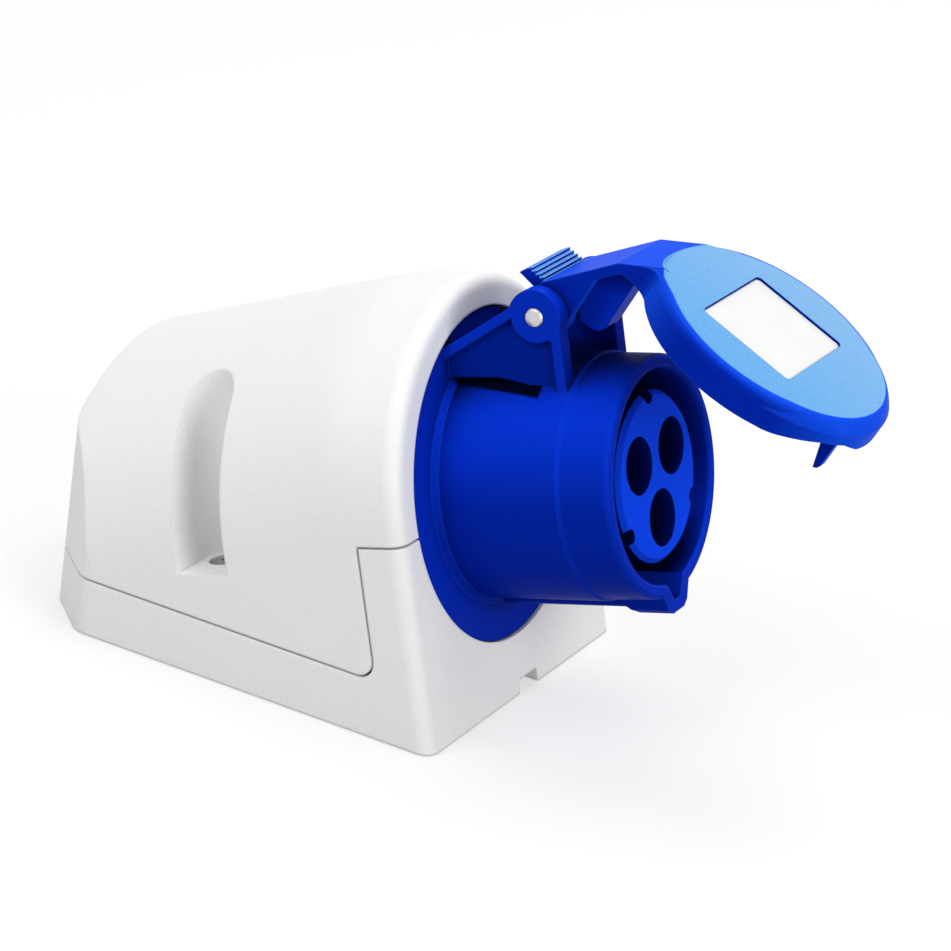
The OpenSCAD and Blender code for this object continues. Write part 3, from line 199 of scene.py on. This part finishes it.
class Shader:
    """A node material, built up one node at a time. Noise scales are in cells a metre."""

    def __init__(self, name):
        self.material = bpy.data.materials.new(name)
        self.material.use_nodes = True
        self.tree = self.material.node_tree
        self.body = self.tree.nodes["Principled BSDF"]
        own = self.add("ShaderNodeTexCoord")
        self.place = own.outputs["Object"]
        self.facing = own.outputs["Normal"]

    def add(self, kind, **values):
        node = self.tree.nodes.new(kind)
        for key, value in values.items():
            setattr(node, key, value)
        return node

    def link(self, source, target):
        self.tree.links.new(source, target)

    def noise(self, scale, detail=2.0, rough=0.5):
        node = self.add("ShaderNodeTexNoise")
        node.inputs["Scale"].default_value = scale
        node.inputs["Detail"].default_value = detail
        node.inputs["Roughness"].default_value = rough
        self.link(self.place, node.inputs["Vector"])
        return node.outputs["Fac"]

    def spread(self, source, low, high, start=0.0, end=1.0):
        node = self.add("ShaderNodeMapRange")
        node.inputs["From Min"].default_value = start
        node.inputs["From Max"].default_value = end
        node.inputs["To Min"].default_value = low
        node.inputs["To Max"].default_value = high
        self.link(source, node.inputs["Value"])
        return node.outputs["Result"]

    def rise(self, source, start, end):
        return self.spread(source, 0.0, 1.0, start, end)

    def fall(self, source, start, end):
        return self.spread(source, 1.0, 0.0, start, end)

    def speckle(self, scale, detail, rough=0.5, start=0.3, end=0.7):
        """Noise that runs all the way from 0 to 1."""
        return self.rise(self.noise(scale, detail, rough), start, end)

    def math(self, operation, a, b=None, c=None):
        node = self.add("ShaderNodeMath", operation=operation)
        for i, value in enumerate((a, b, c)):
            if value is None:
                continue
            if isinstance(value, (int, float)):
                node.inputs[i].default_value = value
            else:
                self.link(value, node.inputs[i])
        return node.outputs[0]

    def product(self, first, *others):
        for factor in others:
            first = self.math("MULTIPLY", first, factor)
        return first

    def over(self, value, limit):
        return self.math("GREATER_THAN", value, limit)

    def under(self, value, limit):
        return self.math("LESS_THAN", value, limit)

    def hypotenuse(self, a, b):
        return self.math("SQRT", self.math("ADD", self.product(a, a), self.product(b, b)))

    def dot(self, a, b):
        node = self.add("ShaderNodeVectorMath", operation="DOT_PRODUCT")
        self.link(a, node.inputs[0])
        if isinstance(b, Vector):
            node.inputs[1].default_value = b
        else:
            self.link(b, node.inputs[1])
        return node.outputs["Value"]

    def mix(self, factor, a, b):
        node = self.add("ShaderNodeMix", data_type="RGBA")
        self.link(factor, node.inputs["Factor"])
        for socket, colour in ((node.inputs["A"], a), (node.inputs["B"], b)):
            if isinstance(colour, tuple):
                socket.default_value = (*colour, 1)
            else:
                self.link(colour, socket)
        return node.outputs["Result"]

    def along(self, direction, origin=Vector((0, 0, 0))):
        """The distance of a point from origin along a direction, in metres."""
        shift = self.add("ShaderNodeVectorMath", operation="SUBTRACT")
        shift.inputs[1].default_value = origin
        self.link(self.place, shift.inputs[0])
        return self.dot(shift.outputs[0], direction)

    def towards(self, direction, start, end, sides=False):
        """How far a face looks in a direction, from 0 to 1; with sides, in its mirror images too."""
        facing = self.facing
        if sides:
            fold = self.add("ShaderNodeVectorMath", operation="ABSOLUTE")
            self.link(facing, fold.inputs[0])
            facing = fold.outputs[0]
        return self.rise(self.dot(facing, direction), start, end)

    def soft_normal(self, radius):
        """Normals that round the edges off."""
        node = self.add("ShaderNodeBevel", samples=EDGE_RAYS)
        node.inputs["Radius"].default_value = radius
        return node.outputs["Normal"]

    def edge_factor(self, normal):
        """How much each point is turned by its soft normal: 0 on faces, 1 on sharp edges."""
        flat = self.add("ShaderNodeNewGeometry")
        return self.fall(self.dot(normal, flat.outputs["Normal"]), EDGE_TURN, 1.0)

    def hollow(self, reach, most):
        """How shut in a point is: most in narrow corners, 0 on open faces."""
        node = self.add("ShaderNodeAmbientOcclusion", samples=HOLLOW_RAYS)
        node.inputs["Distance"].default_value = reach
        return self.spread(node.outputs["AO"], most, 0.0, HOLLOW_SHUT, HOLLOW_OPEN)

    def bump(self, height, depth, normal):
        node = self.add("ShaderNodeBump")
        node.inputs["Distance"].default_value = depth
        self.link(height, node.inputs["Height"])
        self.link(normal, node.inputs["Normal"])
        return node.outputs["Normal"]

    def surface(self, base, rough, normal):
        self.link(base, self.body.inputs["Base Color"])
        self.link(rough, self.body.inputs["Roughness"])
        self.link(normal, self.body.inputs["Normal"])

    def paint(self, factor, colour):
        """Another colour over the base colour, where factor is 1."""
        base = self.body.inputs["Base Color"]
        self.link(self.mix(factor, base.links[0].from_socket, colour), base)


def moulded(name, colour, rough, grain, depth, edge):
    """Moulded plastic: a drifting and speckled colour, a fine grain and softened edges."""
    s = Shader(name)
    normal = s.soft_normal(edge)
    # How sharp each edge is, for the painted highlights at the edges
    s.worn = s.edge_factor(normal)
    base = s.mix(s.speckle(2100, 3, 0.7), tint(colour, 0.95), tint(colour, 1.04))
    gloss = s.spread(s.noise(260, 3), rough - 0.05, rough + 0.07)
    s.surface(base, gloss, s.bump(s.noise(grain, 3, 0.6), depth, normal))
    drift = s.spread(s.noise(45, 3), 0.0, 0.4, 0.35, 0.7)
    s.paint(drift, tint(colour, 1.03))
    return s


def housing_plastic(name):
    """The housing's pale plastic, with painted highlights that pale its edges."""
    s = moulded(name, HOUSING_PALE, rough=0.5, grain=1700, depth=0.025 * MM, edge=0.7 * MM)
    # Painted highlights on the edges
    s.paint(s.product(s.worn, HOUSING_HIGHLIGHT_SHARE), HOUSING_HIGHLIGHT)
    return s


def blue_plastic(name, colour, lit_colour, rough, edge, lit_facing, reach, bare=False):
    """Blue moulded plastic: painted light on the faces that look one way, painted shade in hollows, painted
    highlights at the edges.

    With bare, the painted light goes over the painted shade in hollows.
    """
    s = moulded(name, colour, rough, grain=1500, depth=0.014 * MM, edge=edge)
    # Painted light on the faces that look one way, and painted shade in hollows
    pale = s.mix(s.speckle(1900, 3, 0.7), tint(lit_colour, 0.92), tint(lit_colour, 1.06))
    hollow = s.hollow(reach, 0.94)
    if bare:
        s.paint(hollow, tint(colour, 0.06))
        s.paint(s.towards(*lit_facing), pale)
    else:
        s.paint(s.towards(*lit_facing), pale)
        s.paint(hollow, tint(colour, 0.1))
    # Painted highlights on the edges
    s.paint(s.product(s.worn, BLUE_HIGHLIGHT_SHARE), BLUE_HIGHLIGHT)
    s.body.inputs["Specular IOR Level"].default_value = BLUE_SPECULAR
    s.body.inputs["Specular Tint"].default_value = BLUE_SHEEN
    return s


def socket_plastic(name):
    """The socket's blue: painted light on faces that look off the wall, painted shade under the lid's arm,
    painted shade and light on the ears, and a painted shadow in the gaps at the ears' feet.
    """
    # Painted light on the faces that look off the wall
    lit_facing = (OFF_WALL, 0.0, 0.65)
    s = blue_plastic(name, SOCKET_BLUE, SOCKET_LIT, rough=0.42, edge=0.7 * MM, lit_facing=lit_facing, reach=6 * MM)
    # Painted shade under the lid's arm, on faces that look up or out of the mouth
    mouth = s.product(s.towards(SOCKET_OUT, 0.5, 0.9), 0.5)
    looks = s.math("MAXIMUM", s.towards(SOCKET_UP, 0.45, 0.85), mouth)
    s.paint(s.product(looks, s.hollow(35 * MM, 0.97)), SOCKET_SHADE)

    out = s.along(SOCKET_OUT, SOCKET)
    up = s.along(SOCKET_UP, SOCKET)
    side = s.math("ABSOLUTE", s.along(ACROSS))
    # Painted shade on the ears' panels and painted light on their raised borders
    sideways = s.towards(ACROSS, 0.8, 0.95, sides=True)
    ear = s.product(sideways, s.over(up, EAR_FOOT), s.over(side, EAR_SIDE))
    raised = s.rise(side, EAR_PANEL_SIDE, EAR_BORDER_SIDE)
    s.paint(s.product(ear, 0.75), s.mix(raised, SHADED_EAR_PANEL, LIT_EAR_BORDER))

    # A painted shadow on the tube in the gap at each ear's foot
    wedge = s.math("SUBTRACT", s.math("MULTIPLY_ADD", out, EAR_SHADOW_SLOPE, EAR_SHADOW_START), side)
    ear_shadow = s.product(s.rise(wedge, 0.0, EAR_SHADOW_BLUR), s.under(s.hypotenuse(side, up), EAR_SHADOW_RADIUS))
    ear_shadow = s.product(ear_shadow, s.over(side, EAR_SHADOW_SIDE), s.under(out, EAR_SHADOW_LENGTH), s.over(up, 0.0))
    s.paint(ear_shadow, EAR_SHADOW_BLACK)
    return s


def insert_plastic(name):
    """The insert's blue, with painted light on its face and painted shade that makes the entry holes nearly
    black.
    """
    # Painted light on the faces that look out of the mouth
    lit_facing = (SOCKET_OUT, 0.3, 0.9)
    return blue_plastic(name, INSERT_BLUE, INSERT_LIT, rough=0.5, edge=0.4 * MM, lit_facing=lit_facing,
                        reach=16 * MM, bare=True)


def lid_plastic(name):
    """The lid's blue, with painted light where it does not look sideways, a painted sheen on its rougher
    flat face, a painted highlight on the tab and painted light on the lug.
    """
    # Painted light on the faces that do not look sideways
    lit_facing = (Vector((0.4, -1, 0.2)), -0.75, 0.0, True)
    s = blue_plastic(name, LID_BLUE, LID_LIT, rough=0.38, edge=0.5 * MM, lit_facing=lit_facing, reach=5 * MM)
    across = s.along(ACROSS)
    along = s.along(ALONG)
    height = s.along(OFF_WALL)

    def inside(radius, up):
        rise = s.along(LID_UP, on_lid(FLAT_OUT, up))
        return s.math("SUBTRACT", radius * MM, s.hypotenuse(across, rise))

    first, second, third = (inside(*circle) for circle in FLAT_CIRCLES)
    plan = s.math("MAXIMUM", s.math("MAXIMUM", first, second), third)
    near_face = s.over(s.along(LID_OUT, on_lid(FLAT_OUT, 0)), -FLAT_DEPTH)
    flat = s.product(s.rise(plan, 0.0, FLAT_BLUR), near_face, s.towards(LID_OUT, 0.35, 0.45))
    # A painted sheen on the flat face, whiter towards the far side
    grain = s.speckle(2300, 2, 0.7)
    far_sheen = s.rise(across, SHEEN_START, SHEEN_END)
    s.paint(flat, s.mix(far_sheen, s.mix(grain, *FLAT_SHEEN_TONES), s.mix(grain, *FAR_SHEEN_TONES)))

    # A painted highlight on the tab
    on_tab = s.product(s.rise(height, *TAB_HEIGHT), s.fall(along, *TAB_END), s.towards(LID_OUT, 0.6, 0.9))
    s.paint(on_tab, TAB_HIGHLIGHT)

    # Painted light on the lug's sides
    on_lug = s.product(s.fall(height, *LUG_HEIGHT), s.over(along, LUG_START), s.under(along, LUG_END))
    on_lug = s.product(on_lug, s.under(s.math("ABSOLUTE", across), LUG_SIDE))
    s.paint(s.product(on_lug, s.towards(ACROSS, 0.6, 0.9, sides=True)), LUG_LIGHT)

    gloss = s.body.inputs["Roughness"]
    s.link(s.math("MULTIPLY_ADD", flat, FLAT_DULLER, gloss.links[0].from_socket), gloss)
    return s


def metal(name, colour, rough):
    """Clouded metal with a fine grain."""
    s = Shader(name)
    s.body.inputs["Metallic"].default_value = 1.0
    fine = s.noise(3600, 4, 0.6)
    base = s.mix(s.speckle(300, 3), tint(colour, 0.86), colour)
    gloss = s.spread(fine, rough - 0.08, rough + 0.12)
    s.surface(base, gloss, s.bump(fine, 0.01 * MM, s.soft_normal(0.15 * MM)))
    return s


def rubber(name):
    """Dull dark rubber."""
    s = Shader(name)
    base = s.mix(s.speckle(300, 4, end=0.75), *RUBBER_TONES)
    gloss = s.spread(s.noise(900), 0.6, 0.78)
    s.surface(base, gloss, s.bump(s.noise(2600), 0.02 * MM, s.soft_normal(0.25 * MM)))
    return s


def label(name):
    """A bare pale plate, faintly clouded, with a fine grain."""
    s = Shader(name)
    s.body.inputs["Specular IOR Level"].default_value = LABEL_SPECULAR
    base = s.mix(s.speckle(120, 4), *LABEL_TONES)
    gloss = s.spread(s.noise(700), 0.4, 0.5)
    s.surface(base, gloss, s.bump(s.noise(1800), 0.006 * MM, s.soft_normal(0.2 * MM)))
    return s


def dress(shader, *names):
    for name in names:
        mesh = nodes[name].data
        mesh.materials.clear()
        mesh.materials.append(shader.material)


def add_spring(material):
    """A copy of the torsion spring in the steel, in place of the hinge_spring node: one leg rests on the
    tube, the other on the lid, and the coil winds between.
    """
    spring = bpy.data.objects.new("torsion_spring", nodes["hinge_spring"].data.copy())
    scene.collection.objects.link(spring)
    spring.data.materials.clear()
    spring.data.materials.append(material)
    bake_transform(spring)
    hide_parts("hinge_spring")


def add_materials():
    dress(housing_plastic("housing_plastic"), "wall_base", "housing_cover")
    dress(socket_plastic("blue_plastic"), "socket_body")
    dress(insert_plastic("insert_plastic"), "contact_insert", "insert_retainer")
    dress(lid_plastic("lid_plastic"), "lid")
    dress(label("label_plate"), "label_plate")
    steel = metal("plated_steel", PLATED_STEEL, rough=0.3)
    dress(steel, "contact_rings", "hinge_pin")
    add_spring(steel.material)
    screws = metal("screw_steel", SCREW_STEEL, rough=0.25)
    dress(screws, "cover_screws", "insert_screws", "terminal_screws")
    brass = metal("brass", BRASS, rough=0.28)
    dress(brass, "line_contact", "neutral_contact", "earth_contact", "boss_inserts")
    dress(rubber("rubber"), "housing_seal", "screw_seals", "entry_grommet", "flange_gasket", "lid_seal")


# Stage


def seen(tree):
    """1 for what the camera sees, straight, mirrored or through glass; 0 for light that falls on things."""
    path = tree.nodes.new("ShaderNodeLightPath")
    last = path.outputs["Is Camera Ray"]
    for name in ("Is Glossy Ray", "Is Transmission Ray"):
        node = tree.nodes.new("ShaderNodeMath")
        node.operation = "MAXIMUM"
        tree.links.new(last, node.inputs[0])
        tree.links.new(path.outputs[name], node.inputs[1])
        last = node.outputs[0]
    return last


def add_stage():
    mesh = bpy.data.meshes.new("floor")
    corners = [(-1, -1), (1, -1), (1, 1), (-1, 1)]
    points = [(x * FLOOR_HALF, y * FLOOR_HALF, FLOOR_HEIGHT) for x, y in corners]
    mesh.from_pydata(points, [], [(0, 1, 2, 3)])
    floor = bpy.data.objects.new("floor", mesh)
    scene.collection.objects.link(floor)
    material = bpy.data.materials.new("floor")
    material.use_nodes = True
    tree = material.node_tree
    tree.nodes.clear()
    output = tree.nodes.new("ShaderNodeOutputMaterial")
    diffuse = tree.nodes.new("ShaderNodeBsdfDiffuse")
    diffuse.inputs["Color"].default_value = FLOOR_GREY
    glow = tree.nodes.new("ShaderNodeEmission")
    level = tree.nodes.new("ShaderNodeMath")
    level.operation = "MULTIPLY"
    level.inputs[1].default_value = FLOOR_GLOW
    tree.links.new(seen(tree), level.inputs[0])
    tree.links.new(level.outputs[0], glow.inputs["Strength"])
    both = tree.nodes.new("ShaderNodeAddShader")
    tree.links.new(diffuse.outputs[0], both.inputs[0])
    tree.links.new(glow.outputs[0], both.inputs[1])
    tree.links.new(both.outputs[0], output.inputs["Surface"])
    mesh.materials.append(material)


def add_world():
    world = bpy.data.worlds.new("world")
    world.use_nodes = True
    tree = world.node_tree
    background = tree.nodes["Background"]
    level = tree.nodes.new("ShaderNodeMapRange")
    level.inputs["To Min"].default_value = WORLD_LIGHT
    level.inputs["To Max"].default_value = WORLD_SEEN
    tree.links.new(seen(tree), level.inputs["Value"])
    tree.links.new(level.outputs[0], background.inputs["Strength"])
    background.inputs["Color"].default_value = (1, 1, 1, 1)
    scene.world = world


def add_lights():
    for name, spot, size, watts in LAMPS:
        data = bpy.data.lights.new(name, "AREA")
        data.shape = "RECTANGLE"
        data.size, data.size_y = size
        data.energy = watts
        lamp = bpy.data.objects.new(name, data)
        place = Vector(spot)
        turn = (LAMP_AIM - place).to_track_quat("-Z", "Y").to_matrix().to_4x4()
        lamp.matrix_world = Matrix.Translation(place) @ turn
        scene.collection.objects.link(lamp)


add_camera()
add_materials()
add_stage()
add_world()
add_lights()
